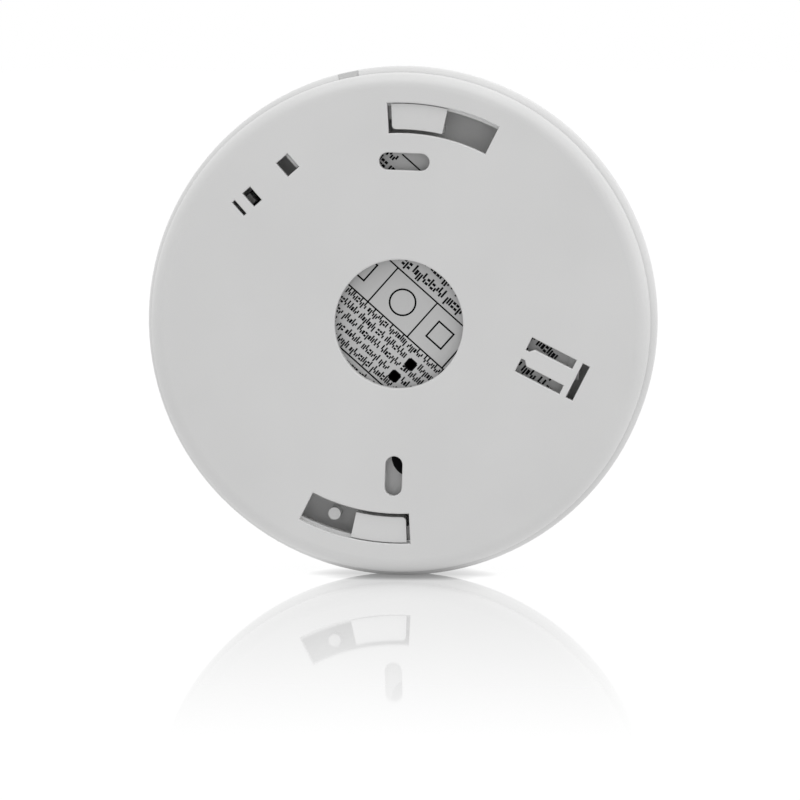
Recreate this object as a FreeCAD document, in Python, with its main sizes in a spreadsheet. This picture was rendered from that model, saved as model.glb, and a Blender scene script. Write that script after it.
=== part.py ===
"""A mini optical smoke alarm on its twist-lock mounting plate.

Every piece is drawn on the bench: the plate lies with its wall face down on the plane z = 0, and the
alarm is built up from it towards the room. Seen from the room, x is right, y is up and z comes out of
the wall, and angles run anticlockwise from x. A last placement stands each finished piece upright:
the wall face then looks along -Y, the room is at +Y and up is +Z. Millimetres and degrees.
"""
import FreeCAD, Part
import math
import os
import re

import Sketcher

SIZES = {
    # Mounting plate: a shallow moulded pan with a round hole, two bayonet windows and two screw slots.
    "plate_radius": 49.8,
    "plate_sheet": 1.8,
    "plate_depth": 5.5,
    "plate_wall": 1.8,
    "plate_round": 2.8,
    "plate_hole": 12.8,
    "soft_edge": 0.3,
    "window_inner": 37.9,
    "window_outer": 43.9,
    "window_start": 85.0,
    "window_sweep": 30.0,
    "ring_inner": 43.3,
    "ring_outer": 44.8,
    "ring_depth": 4.2,
    "ledge_inner": 40.6,
    "ledge_top": 2.9,
    "ledge_bottom": 4.1,
    "ledge_sweep": 13.5,
    "slot_width": 3.4,
    "upper_slot_length": 10.0,
    "upper_slot_height": 32.25,
    "lower_slot_length": 7.9,
    "lower_slot_height": -30.35,
    # Sight openings over the switch and the tamper rib, in a frame turned to their middle.
    "sight_turn": 46.55,
    "sight_near": 36.5,
    "sight_far": 40.0,
    "rib_window_low": 2.8,
    "rib_window_high": 5.8,
    "switch_window_low": -6.23,
    "switch_window_high": -4.17,
    "slit_low": -8.95,
    "slit_high": -8.25,
    # Spring bridge that snaps the alarm in place, in a frame turned to its middle.
    "latch_turn": 205.0,
    "latch_near": 24.8,
    "latch_far": 34.7,
    "latch_low": -9.8,
    "latch_high": -2.25,
    "finger_low": -7.85,
    "finger_high": -4.15,
    "neck_low": -7.0,
    "neck_high": -5.07,
    "neck_gap": 0.8,
    "bar_far": 36.1,
    "latch_end": 37.6,
    "nib_depth": 2.75,
    # Rear housing: a raised middle for the label, a channel round it and an outer rim.
    "housing_wall": 1.6,
    "middle_face": 3.3,
    "middle_radius": 36.4,
    "channel_face": 8.0,
    "channel_outer": 46.0,
    "rim_face": 5.8,
    "rim_radius": 51.0,
    "rim_round": 2.2,
    "middle_round": 0.4,
    "housing_edge": 12.85,
    "hook_inner": 38.65,
    "hook_stem": 40.3,
    "hook_outer": 43.1,
    "hook_top": 0.8,
    "hook_lip": 2.6,
    "hook_start": 86.05,
    "hook_sweep": 14.75,
    "hook_corner": 0.8,
    "hook_gap": 0.2,
    "post_radius": 1.225,
    "post_circle": 40.4,
    "post_turn": 287.0,
    "post_top": 3.0,
    "pry_start": 73.5,
    "pry_sweep": 4.8,
    "pry_depth": 1.5,
    "label_radius": 34.5,
    "label_thickness": 0.15,
    # Screws and their bosses.
    "screw_circle": 42.0,
    "screw_radius": 1.45,
    "screw_head": 2.6,
    "screw_head_height": 2.0,
    "screw_length": 12.0,
    "boss_radius": 3.25,
    "boss_top": 26.0,
    "boss_bore": 1.55,
    # Front cover.
    "cover_start": 13.0,
    "cover_radius": 50.7,
    "cover_shoulder": 46.3,
    "cover_face": 36.8,
    "cover_wall": 1.8,
    "cover_round": 9.0,
    "lip_outer": 49.1,
    "lip_inner": 47.7,
    "lip_start": 11.0,
    "well_radius": 15.0,
    "well_face": 31.6,
    "well_floor": 1.4,
    "vent_count": 36,
    "vent_width": 4.2,
    "vent_low": 16.5,
    "vent_high": 24.5,
    # Circuit board and what stands on it.
    "board_radius": 44.5,
    "board_rear": 12.4,
    "board_front": 14.0,
    "board_edge": -16.6,
    "chamber_x": 16.0,
    "chamber_y": -10.0,
    "chamber_radius": 21.5,
    "chamber_floor": 2.0,
    "chamber_top": 27.3,
    "chamber_lid": 1.3,
    "baffle_count": 20,
    "baffle_thickness": 0.9,
    "screen_gap": 0.3,
    "screen_thickness": 0.3,
    "beam_height": 20.0,
    "led_radius": 1.5,
    "horn_x": 8.0,
    "horn_y": 28.0,
    "horn_radius": 14.0,
    "horn_wall": 1.2,
    "horn_top": 29.5,
    "horn_throat": 11.6,
    "horn_port": 5.0,
    "disc_radius": 12.6,
    "disc_rest": 19.3,
    "disc_thickness": 0.25,
    "ceramic_radius": 9.0,
    "ceramic_thickness": 0.2,
    "cell_x": -27.0,
    "cell_height": 18.6,
    "cell_radius": 8.5,
    "cell_length": 34.5,
    "cell_nub": 0.8,
    "clamp_thickness": 1.0,
    "clamp_width": 6.0,
    "switch_x": -10.5,
    "switch_y": 5.0,
    "switch_size": 6.0,
    "switch_top": 17.5,
    "plunger_radius": 1.75,
    "plunger_top": 19.0,
    "lamp_x": -12.0,
    "lamp_y": -22.0,
    "lamp_radius": 1.5,
    "lamp_top": 17.2,
    # Slide switch that turns the alarm on, in the frame of the sight openings.
    "knob_low": -7.18,
    "knob_high": -5.58,
    "knob_near": 37.25,
    "knob_far": 39.25,
    "knob_top": 4.6,
    "knob_bottom": 11.2,
    "knob_travel": 2.4,
    "knob_gap": 0.3,
    # Test button.
    "button_radius": 14.6,
    "button_face": 37.5,
    "button_cap": 1.5,
    "button_skirt": 33.2,
    "stem_radius": 1.8,
    "spring_radius": 3.4,
    "spring_wire": 0.5,
    "spring_turns": 4,
    "fit": 0.05,
}

UPRIGHT = FreeCAD.Placement(FreeCAD.Vector(0, 0, 0), FreeCAD.Rotation(FreeCAD.Vector(0, 1, 1), 180))
SCREW_TURNS = (20, 140, 250)
COIL_RUNS = 10

doc = FreeCAD.newDocument("smoke_alarm")
nodes = {}


def fill_sheet():
    """Write the driving dimensions into the sheet, one aliased cell each."""
    sheet = doc.addObject("Spreadsheet::Sheet", "dims")
    for row, (alias, number) in enumerate(SIZES.items(), start=1):
        sheet.set(f"A{row}", alias)
        sheet.set(f"B{row}", str(number))
        sheet.setAlias(f"B{row}", alias)
    doc.recompute()
    return sheet


dims = fill_sheet()


def formula(text):
    """A formula in full: each word that the sheet knows gets the sheet's name before it."""
    return re.sub(r"[a-z_]+", lambda word: "dims." + word[0] if word[0] in SIZES else word[0], text)


def value(text):
    """What a formula comes to."""
    return float(dims.evalExpression(text))


def bind(thing, **sizes):
    """Tie a thing's properties to formulas."""
    for name, text in sizes.items():
        thing.setExpression(name, formula(text))
    return thing


def place(thing, x="0", y="0", z="0", turn="0"):
    """Tie a thing's place and its turn about z to formulas."""
    for path, text in (("Base.x", x), ("Base.y", y), ("Base.z", z), ("Rotation.Angle", turn)):
        if text != "0":
            thing.setExpression("Placement." + path, formula(text))
    return thing


def span(low, high):
    """The formula for the distance between two formulas."""
    return f"({high}) - ({low})"


def drum(radius, low, high, x="0", y="0", turn="0", sweep="360"):
    """A round bar, or a slice of one, from one height to another."""
    thing = doc.addObject("Part::Cylinder", "drum")
    bind(thing, Radius=radius, Height=span(low, high), Angle=sweep)
    return place(thing, x, y, low, turn)


def block(x_pair, y_pair, z_pair, turn="0"):
    """A box between pairs of formulas along x, y and z, then turned about the z axis."""
    thing = doc.addObject("Part::Box", "block")
    bind(thing, Length=span(*x_pair), Width=span(*y_pair), Height=span(*z_pair))
    place(thing, x_pair[0], y_pair[0], z_pair[0])
    return thing if turn == "0" else turned_about(turn, thing)


def lying(radius, low, high, x, z):
    """A round bar that lies along y, from one y to another."""
    thing = doc.addObject("Part::Cylinder", "bar")
    thing.Placement.Rotation = FreeCAD.Rotation(FreeCAD.Vector(1, 0, 0), -90)
    bind(thing, Radius=radius, Height=span(low, high))
    return place(thing, x, low, z)


def union(*things):
    """One shape from several."""
    if len(things) == 1:
        return things[0]
    thing = doc.addObject("Part::MultiFuse", "union")
    thing.Shapes = list(things)
    thing.Refine = True
    return thing


def group(*things):
    """Several solids that stay separate and share a node."""
    thing = doc.addObject("Part::Compound", "group")
    thing.Links = list(things)
    return thing


def turned_about(turn, *things):
    """Things drawn along x, turned about the z axis to their angle."""
    return place(group(*things), turn=turn)


def cut(base, *tools):
    """A shape with tools taken from it."""
    thing = doc.addObject("Part::Cut", "cut")
    thing.Base = base
    thing.Tool = union(*tools)
    thing.Refine = True
    return thing


def slice_of_ring(inner, outer, low, high, start, sweep):
    """Part of a ring, between two radii, two heights and two angles."""
    return cut(drum(outer, low, high, turn=start, sweep=sweep), drum(inner, low, high))


def pin(sketch, kind, index, text):
    """Hold the start of a line at a formula's distance from the sketch's origin, or on its axis."""
    if value(text) == 0:
        axis = -2 if kind == "DistanceX" else -1
        sketch.addConstraint(Sketcher.Constraint("PointOnObject", index, 1, axis))
        return
    number = sketch.addConstraint(Sketcher.Constraint(kind, -1, 1, index, 1, value(text)))
    sketch.setExpression(f"Constraints[{number}]", formula(text))


def outline(sketch, corners):
    """Draw a closed run of lines through corners, each a pair of formulas, and tie it to them."""
    points = [FreeCAD.Vector(value(across), value(along), 0) for across, along in corners]
    for index, point in enumerate(points):
        sketch.addGeometry(Part.LineSegment(point, points[(index + 1) % len(points)]), False)
    for index, (across, along) in enumerate(corners):
        sketch.addConstraint(Sketcher.Constraint("Coincident", (index - 1) % len(points), 2, index, 1))
        pin(sketch, "DistanceX", index, across)
        pin(sketch, "DistanceY", index, along)


def new_sketch(body, role, corners):
    """A sketch of an outline on one of the body's own planes."""
    sketch = body.newObject("Sketcher::SketchObject", "outline")
    plane = [feature for feature in body.Origin.OriginFeatures if feature.Role == role][0]
    sketch.AttachmentSupport = (plane, [""])
    sketch.MapMode = "FlatFace"
    outline(sketch, corners)
    return sketch


def edge_names(shape, wanted):
    """The names of the edges whose first point and curve pass a test."""
    return [f"Edge{number}" for number, edge in enumerate(shape.Edges, start=1) if wanted(edge)]


def circle_at(radius, height):
    """A test for the round edges of a radius at a height."""
    def wanted(edge):
        ring = isinstance(edge.Curve, Part.Circle)
        return ring and abs(edge.Curve.Radius - radius) < 1e-4 and abs(edge.Curve.Center.z - height) < 1e-4
    return wanted


def turned(corners, rounds=()):
    """A body turned about z from an outline of radii and heights, with some of its corners rounded."""
    body = doc.addObject("PartDesign::Body", "turned")
    sketch = new_sketch(body, "XZ_Plane", corners)
    solid = body.newObject("PartDesign::Revolution", "turn")
    solid.Profile = sketch
    solid.ReferenceAxis = (sketch, ["V_Axis"])
    solid.Angle = 360
    doc.recompute()
    for radius, height, size in rounds:
        names = edge_names(solid.Shape, circle_at(value(radius), value(height)))
        fillet = body.newObject("PartDesign::Fillet", "round")
        fillet.Base = (solid, names)
        bind(fillet, Radius=size)
        doc.recompute()
        solid = fillet
    return body


def padded(body, corners, low, high, count=None):
    """Raise an outline from one height to another in a body, and repeat it round the z axis."""
    sketch = new_sketch(body, "XY_Plane", corners)
    sketch.setExpression("AttachmentOffset.Base.z", formula(low))
    pad = body.newObject("PartDesign::Pad", "pad")
    pad.Profile = sketch
    bind(pad, Length=span(low, high))
    if count is None:
        return pad
    ring = body.newObject("PartDesign::PolarPattern", "ring")
    ring.Originals = [pad]
    ring.Axis = (sketch, ["N_Axis"])
    ring.Angle = 360
    bind(ring, Occurrences=count)
    body.Tip = ring
    return ring


def rounded(thing, size, wanted):
    """Round the edges that pass a test."""
    doc.recompute()
    fillet = doc.addObject("Part::Fillet", "rounded")
    fillet.Base = thing
    radius = value(size)
    chosen = [number for number, edge in enumerate(thing.Shape.Edges, start=1) if wanted(edge)]
    fillet.Edges = [(number, radius, radius) for number in chosen]
    return fillet


def node(name, *things):
    """Name a finished piece, which may be several like solids, and stand it upright."""
    piece = group(*things)
    piece.Label = name
    piece.Placement = UPRIGHT
    nodes[name] = piece


def stadium(length, width, low, high, y, upright=False):
    """A round-ended bar between two heights, its middle at y, lying across x or standing along y."""
    half = f"({length} - {width}) / 2"
    if upright:
        ends = [("0", f"{y} + {half}"), ("0", f"{y} - {half}")]
        middle = block((f"-{width} / 2", f"{width} / 2"), (ends[1][1], ends[0][1]), (low, high))
    else:
        ends = [(half, y), (f"-{half}", y)]
        middle = block((ends[1][0], ends[0][0]), (f"{y} - {width} / 2", f"{y} + {width} / 2"), (low, high))
    return union(middle, *[drum(f"{width} / 2", low, high, x, end_y) for x, end_y in ends])


def coil(radius, wire, turns, low, high):
    """A wire wound into a spring between two heights, in short straight runs."""
    steps = value(turns) * COIL_RUNS
    thick = value(wire)
    start = value(low) + thick
    rise = value(high) - value(low) - 2 * thick
    points = []
    for step in range(int(steps) + 1):
        angle = 2 * math.pi * step / COIL_RUNS
        around = FreeCAD.Vector(math.cos(angle), math.sin(angle), 0) * value(radius)
        points.append(around + FreeCAD.Vector(0, 0, start + rise * step / steps))
    ring = Part.Wire(Part.makeCircle(thick / 2, points[0], points[1] - points[0]))
    wound = doc.addObject("Part::Feature", "wound")
    wound.Shape = Part.makePolygon(points).makePipeShell([ring], True, False, 1)
    return wound


def neck_mouth(neck, finger, beyond):
    """One side of the narrow root of the spring finger, as a cutter with a sloped shoulder."""
    mouth = doc.addObject("PartDesign::Body", "mouth")
    corners = [
        ("latch_near", beyond),
        ("latch_near", neck),
        ("latch_near + neck_gap", neck),
        ("latch_near + 2 * neck_gap", finger),
        ("latch_near + 2 * neck_gap", beyond),
    ]
    padded(mouth, corners, "-1", "plate_sheet + 1")
    return mouth


def make_mounting_plate():
    """The moulded plate that stays on the wall: pan, inner ring, ledges, openings and spring bridge."""
    pan = turned(
        [
            ("plate_hole", "0"),
            ("plate_radius", "0"),
            ("plate_radius", "plate_depth"),
            ("plate_radius - plate_wall", "plate_depth"),
            ("plate_radius - plate_wall", "plate_sheet"),
            ("plate_hole", "plate_sheet"),
        ],
        [
            ("plate_radius", "0", "plate_round"),
            ("plate_radius - plate_wall", "plate_sheet", "plate_round - plate_wall"),
        ],
    )
    ring = cut(drum("ring_outer", "plate_sheet / 2", "ring_depth"), drum("ring_inner", "0", "ring_depth"))
    windows = []
    ledges = []
    for half_turn in ("window_start", "window_start + 180"):
        through = ("-1", "plate_sheet")
        windows.append(slice_of_ring("window_inner", "window_outer", *through, half_turn, "window_sweep"))
        depth = ("ledge_top", "ledge_bottom")
        rooted = "ring_inner + soft_edge"
        ledges.append(slice_of_ring("ledge_inner", rooted, *depth, half_turn, "ledge_sweep"))
    through = ("-1", "plate_sheet + 1")
    slots = [
        stadium("upper_slot_length", "slot_width", *through, "upper_slot_height"),
        stadium("lower_slot_length", "slot_width", *through, "lower_slot_height", upright=True),
    ]
    sights = turned_about("sight_turn", *[
        block(("sight_near", "sight_far"), pair, through)
        for pair in (("rib_window_low", "rib_window_high"),
                     ("switch_window_low", "switch_window_high"),
                     ("slit_low", "slit_high"))
    ])
    bridge = turned_about("latch_turn", union(
        block(("latch_near", "latch_far"), ("latch_low", "finger_low"), through),
        block(("latch_near", "latch_far"), ("finger_high", "latch_high"), through),
        neck_mouth("neck_low", "finger_low", "finger_low - soft_edge"),
        neck_mouth("neck_high", "finger_high", "finger_high + soft_edge"),
        block(("bar_far", "latch_end"), ("latch_low", "latch_high"), through),
    ))
    nib = turned_about("latch_turn", block(
        ("latch_far + soft_edge / 3", "bar_far - soft_edge / 3"),
        ("finger_low + soft_edge", "finger_high - soft_edge"),
        ("plate_sheet - soft_edge", "nib_depth"),
    ))
    plate = cut(union(pan, ring, nib), *windows, *slots, sights, bridge)
    plate = union(plate, *ledges)

    def on_wall_face(edge):
        flat = all(abs(vertex.Z) < 1e-4 for vertex in edge.Vertexes)
        inside = edge.BoundBox.DiagonalLength < value("plate_radius")
        return flat and inside
    node("mounting_plate", rounded(plate, "soft_edge", on_wall_face))


def make_rear_housing():
    """The alarm's back shell: label plateau, channel, rim, hooks, post and the supports inside."""
    wall = "housing_wall"
    shell = turned(
        [
            ("0", "middle_face"),
            ("middle_radius", "middle_face"),
            ("middle_radius", "channel_face"),
            ("channel_outer", "channel_face"),
            ("channel_outer", "rim_face"),
            ("rim_radius", "rim_face"),
            ("rim_radius", "housing_edge"),
            (f"rim_radius - {wall}", "housing_edge"),
            (f"rim_radius - {wall}", f"rim_face + {wall}"),
            (f"channel_outer + {wall}", f"rim_face + {wall}"),
            (f"channel_outer + {wall}", f"channel_face + {wall}"),
            (f"middle_radius - {wall}", f"channel_face + {wall}"),
            (f"middle_radius - {wall}", f"middle_face + {wall}"),
            ("0", f"middle_face + {wall}"),
        ],
        [("rim_radius", "rim_face", "rim_round"), ("middle_radius", "middle_face", "middle_round")],
    )
    hooks = []
    for half_turn in ("0", "180"):
        start = f"hook_start + {half_turn}"
        lip = slice_of_ring("hook_inner", "hook_outer", "hook_top", "hook_lip", start, "hook_sweep")
        root = ("hook_top", "channel_face + housing_wall / 2")
        stem = slice_of_ring("hook_inner", "hook_stem", *root, start, "hook_sweep")
        skirt = slice_of_ring("hook_inner", "window_outer - hook_gap", "hook_top", "plate_sheet - hook_gap",
                              start, "hook_sweep")
        hook = union(lip, skirt, stem)
        lead = math.radians(value(start))
        corner = FreeCAD.Vector(math.cos(lead), math.sin(lead), 0) * value("hook_inner")

        def leading(edge, corner=corner):
            return all(math.hypot(at.X - corner.x, at.Y - corner.y) < 1e-3 for at in edge.Vertexes)
        hooks.append(rounded(hook, "hook_corner", leading))
    post = turned_about("post_turn", drum("post_radius", "post_top", "channel_face + 1", x="post_circle"))
    rib = turned_about("sight_turn", block(
        ("sight_near + 0.2", "sight_far + 0.4"),
        ("rib_window_high - 0.75", "rib_window_high + 0.5"),
        ("plate_sheet + 0.4", "channel_face + 1"),
    ))
    floor = "middle_face + housing_wall / 2"
    cradles = [
        block(("cell_x - 9", "cell_x + 8.6"), (low, high), (floor, "cell_height - 3.5"))
        for low, high in (("8", "10"), ("-10", "-8"))
    ]
    pillars = [
        turned_about(turn, drum("2.5", "channel_face + 1", "board_rear", x="40.5"))
        for turn in ("0", "95", "300")
    ]
    solid = union(shell, *hooks, post, rib, *cradles, *pillars)
    cell_bed = lying("cell_radius + 0.15", "-12", "12", "cell_x", "cell_height")
    knob_slot = turned_about("sight_turn", block(
        ("knob_near - knob_gap", "knob_far + knob_gap"),
        ("knob_low - knob_gap", "knob_high + knob_travel + knob_gap"),
        ("channel_face - 1", "channel_face + housing_wall + 1"),
    ))
    screw_holes = [
        turned_about(str(turn), drum("screw_radius + 0.35", "channel_face - 1", "channel_face + 3",
                                     x="screw_circle"))
        for turn in SCREW_TURNS
    ]
    pry_slot = slice_of_ring("rim_radius - 1.2", "rim_radius + 1", "rim_face - 1", "rim_face + pry_depth",
                             "pry_start", "pry_sweep")
    node("rear_housing", cut(solid, cell_bed, knob_slot, pry_slot, *screw_holes))


def make_rear_label():
    """The round rating label stuck to the middle of the rear housing."""
    node("rear_label", drum("label_radius", "middle_face - label_thickness", "middle_face"))


def make_housing_screws():
    """Three self-tapping screws that hold the rear housing to the front cover."""
    screws = []
    for turn in SCREW_TURNS:
        head = drum("screw_head", "channel_face - screw_head_height", "channel_face", x="screw_circle")
        shank = drum("screw_radius", "channel_face", "channel_face + screw_length", x="screw_circle")
        depth = ("channel_face - screw_head_height - 1", "channel_face - screw_head_height + 1.1")
        cross = union(
            block(("screw_circle - 1.5", "screw_circle + 1.5"), ("-0.3", "0.3"), depth),
            block(("screw_circle - 0.3", "screw_circle + 0.3"), ("-1.5", "1.5"), depth),
        )
        screws.append(turned_about(str(turn), cut(union(head, shank), cross)))
    node("housing_screws", *screws)


def make_front_cover():
    """The cover towards the room: tapered wall with smoke inlets, flat face, button well and bosses."""
    wall = "cover_wall"
    slope = "(cover_radius - cover_shoulder) / (cover_face - cover_start)"
    shell = turned(
        [
            ("cover_radius", "cover_start"),
            ("cover_shoulder", "cover_face"),
            ("well_radius", "cover_face"),
            ("well_radius", "well_face"),
            ("0", "well_face"),
            ("0", "well_face - well_floor"),
            (f"well_radius + {wall}", "well_face - well_floor"),
            (f"well_radius + {wall}", f"cover_face - {wall}"),
            (f"cover_shoulder - {wall} + {slope} * {wall}", f"cover_face - {wall}"),
            (f"cover_radius - {wall}", "cover_start"),
        ],
        [
            ("cover_shoulder", "cover_face", "cover_round"),
            (f"cover_shoulder - {wall} + {slope} * {wall}", f"cover_face - {wall}", "cover_round - cover_wall"),
            ("well_radius", "cover_face", "soft_edge * 2"),
        ],
    )
    lip = cut(drum("lip_outer", "lip_start", "cover_start + 1.5"), drum("lip_inner", "0", "cover_start + 2"))
    vent = doc.addObject("PartDesign::Body", "vents")
    half = "vent_width / 2"
    padded(vent, [("cover_shoulder - 4", f"-{half}"), ("cover_radius + 2", f"-{half}"),
                  ("cover_radius + 2", half), ("cover_shoulder - 4", half)],
           "vent_low", "vent_high", "vent_count")
    holed = cut(union(shell, lip), vent)
    bosses = []
    bores = []
    for turn in SCREW_TURNS:
        boss = drum("boss_radius", "channel_face + housing_wall", "boss_top", x="screw_circle")
        web = block(("screw_circle + 1.7", "lip_inner - 0.2"), ("-0.8", "0.8"), ("cover_start", "boss_top"))
        bosses.append(turned_about(str(turn), union(boss, web)))
        bores.append(turned_about(str(turn), drum("boss_bore", "0", "channel_face + screw_length + 1",
                                                  x="screw_circle")))
    grille = [
        block((f"horn_x - {reach}", f"horn_x + {reach}"), (f"horn_y + {step} - 0.8", f"horn_y + {step} + 0.8"),
              (f"cover_face - {wall} - 1", "cover_face + 1"))
        for step, reach in (("-6.4", "4.5"), ("-3.2", "6.8"), ("0", "7.6"), ("3.2", "6.8"), ("6.4", "4.5"))
    ]
    through = ("well_face - well_floor - 1", "well_face + 1")
    stem_hole = drum("stem_radius + 0.4", *through, "switch_x", "switch_y")
    lug_holes = [
        block(("-1.6", "1.6"), pair, through) for pair in (("9.4", "12.3"), ("-12.3", "-9.4"))
    ]
    lamp_hole = drum("lamp_radius + fit", "well_face", "cover_face + 1", "lamp_x", "lamp_y")
    node("front_cover", cut(union(holed, *bosses), *bores, *grille, stem_hole, *lug_holes, lamp_hole))


def make_pcb():
    """The circuit board, cut away beside the battery and round the screw bosses."""
    board = drum("board_radius", "board_rear", "board_front")
    notches = [
        turned_about(str(turn), drum("boss_radius + 0.35", "board_rear - 1", "board_front + 1",
                                     x="screw_circle"))
        for turn in SCREW_TURNS
    ]
    side = block(("-board_radius - 1", "board_edge"), ("-22", "22"), ("board_rear - 1", "board_front + 1"))
    node("pcb", cut(board, side, *notches))


def chamber_turned(turn, *things):
    """Things drawn along x from the chamber's own axis, turned about it."""
    return place(group(*things), "chamber_x", "chamber_y", turn=turn)


def make_chamber_base():
    """The black floor of the smoke chamber, with the two holders that aim the optics."""
    floor = drum("chamber_radius", "board_front", "board_front + chamber_floor", "chamber_x", "chamber_y")
    holders = []
    for turn in ("205", "70"):
        box = block(("7", "15.5"), ("-2.6", "2.6"), ("board_front + 1", "beam_height + 2.6"))
        barrel = doc.addObject("Part::Cylinder", "barrel")
        barrel.Placement.Rotation = FreeCAD.Rotation(FreeCAD.Vector(0, 1, 0), 90)
        bind(barrel, Radius="led_radius + fit", Height="12")
        place(barrel, x="5", z="beam_height")
        holders.append(chamber_turned(turn, cut(box, barrel)))
    node("chamber_base", union(floor, *holders))


def make_chamber_lid():
    """The black lid of the smoke chamber with its ring of slanted light baffles."""
    body = doc.addObject("PartDesign::Body", "lid")
    half = "baffle_thickness / 2"
    padded(body, [("16.4", f"-{half} - 1.6"), ("chamber_radius - 0.6", f"1.9 - {half}"),
                  ("chamber_radius - 0.6", f"1.9 + {half}"), ("16.4", f"{half} - 1.6")],
           "board_front + chamber_floor", "chamber_top", "baffle_count")
    roof = drum("chamber_radius", "chamber_top - chamber_lid", "chamber_top")
    lid = union(body, roof)
    node("chamber_lid", place(lid, "chamber_x", "chamber_y"))


def make_insect_screen():
    """The fine mesh sleeve round the smoke chamber, as a thin ring."""
    spot = ("chamber_x", "chamber_y")
    inner = "chamber_radius + screen_gap"
    outer = f"{inner} + screen_thickness"
    low = "board_front + 0.1"
    node("insect_screen", cut(drum(outer, low, "chamber_top - 0.1", *spot),
                              drum(inner, "board_front", "chamber_top", *spot)))


def make_optics():
    """The infrared emitter and the photodiode, each a lensed tube in its holder."""
    for name, turn in (("infrared_led", "205"), ("photodiode", "70")):
        barrel = doc.addObject("Part::Cylinder", "barrel")
        barrel.Placement.Rotation = FreeCAD.Rotation(FreeCAD.Vector(0, 1, 0), 90)
        bind(barrel, Radius="led_radius", Height="4.5")
        place(barrel, x="9.5", z="beam_height")
        lens = bind(doc.addObject("Part::Sphere", "lens"), Radius="led_radius")
        place(lens, x="9.5", z="beam_height")
        flange = doc.addObject("Part::Cylinder", "flange")
        flange.Placement.Rotation = FreeCAD.Rotation(FreeCAD.Vector(0, 1, 0), 90)
        bind(flange, Radius="led_radius + 0.4", Height="0.8")
        place(flange, x="15.5", z="beam_height")
        neck = doc.addObject("Part::Cylinder", "neck")
        neck.Placement.Rotation = FreeCAD.Rotation(FreeCAD.Vector(0, 1, 0), 90)
        bind(neck, Radius="led_radius", Height="2")
        place(neck, x="13.9", z="beam_height")
        node(name, chamber_turned(turn, union(barrel, lens, neck, flange)))


def make_sounder():
    """The horn with the brass disc, its ceramic and the three contact springs under it."""
    spot = ("horn_x", "horn_y")
    horn = cut(
        drum("horn_radius", "board_front", "horn_top", *spot),
        drum("disc_radius + 0.15", "board_front - 1", "disc_rest", *spot),
        drum("horn_throat", "board_front", "horn_top - horn_wall", *spot),
        drum("horn_port", "board_front", "horn_top + 1", *spot),
    )
    node("sounder_horn", horn)
    brass = ("disc_rest - disc_thickness", "disc_rest")
    node("piezo_disc", drum("disc_radius", *brass, *spot))
    ceramic = ("disc_rest - disc_thickness - ceramic_thickness", "disc_rest - disc_thickness")
    node("piezo_ceramic", drum("ceramic_radius", *ceramic, *spot))
    springs = []
    for reach, touches in (("0", ceramic[0]), ("6", ceramic[0]), ("11", brass[0])):
        spring = coil("0.9", "0.3", "6", "board_front", touches)
        springs.append(place(group(spring), f"horn_x + {reach}", "horn_y"))
    node("piezo_springs", *springs)


def make_battery():
    """The sealed lithium cell, its welded tabs and the clamp over it."""
    half = "cell_length / 2"
    can = lying("cell_radius", f"-{half}", f"{half} - cell_nub", "cell_x", "cell_height")
    nub = lying("3.2", f"{half} - cell_nub", half, "cell_x", "cell_height")
    node("battery", union(can, nub))
    tabs = []
    for side in ("1", "-1"):
        ends = sorted((f"{side} * ({half})", f"{side} * ({half} + 0.25)"), key=value)
        feet = sorted((f"{side} * ({half} + 0.25)", f"{side} * ({half} - 2.8)"), key=value)
        tabs.append(union(
            block(("cell_x - 3", "cell_x + 3"), ends, ("cell_height - 4.5", "cell_height + 2.5")),
            block(("cell_x + 3", "board_edge + 3.6"), ends, ("board_front", "board_front + 3")),
            block(("board_edge + 0.6", "board_edge + 3.6"), feet, ("board_front", "board_front + 0.25")),
        ))
    node("battery_tabs", *tabs)
    inner = "(cell_radius + 0.2)"
    outer = "(cell_radius + 0.2 + clamp_thickness)"
    reach = ("-clamp_width / 2", "clamp_width / 2")
    arch = cut(
        lying(outer, *reach, "cell_x", "cell_height"),
        lying(inner, "-clamp_width", "clamp_width", "cell_x", "cell_height"),
        block((f"cell_x - {outer} - 1", f"cell_x + {outer} + 1"), ("-clamp_width", "clamp_width"),
              ("0", "cell_height")),
    )
    floor = "channel_face + housing_wall"
    left = block((f"cell_x - {outer}", f"cell_x - {inner}"), reach, (floor, "cell_height"))
    right = block((f"cell_x + {inner}", f"cell_x + {outer}"), reach, ("middle_face + housing_wall", "cell_height"))
    node("battery_clamp", union(arch, left, right))


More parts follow.
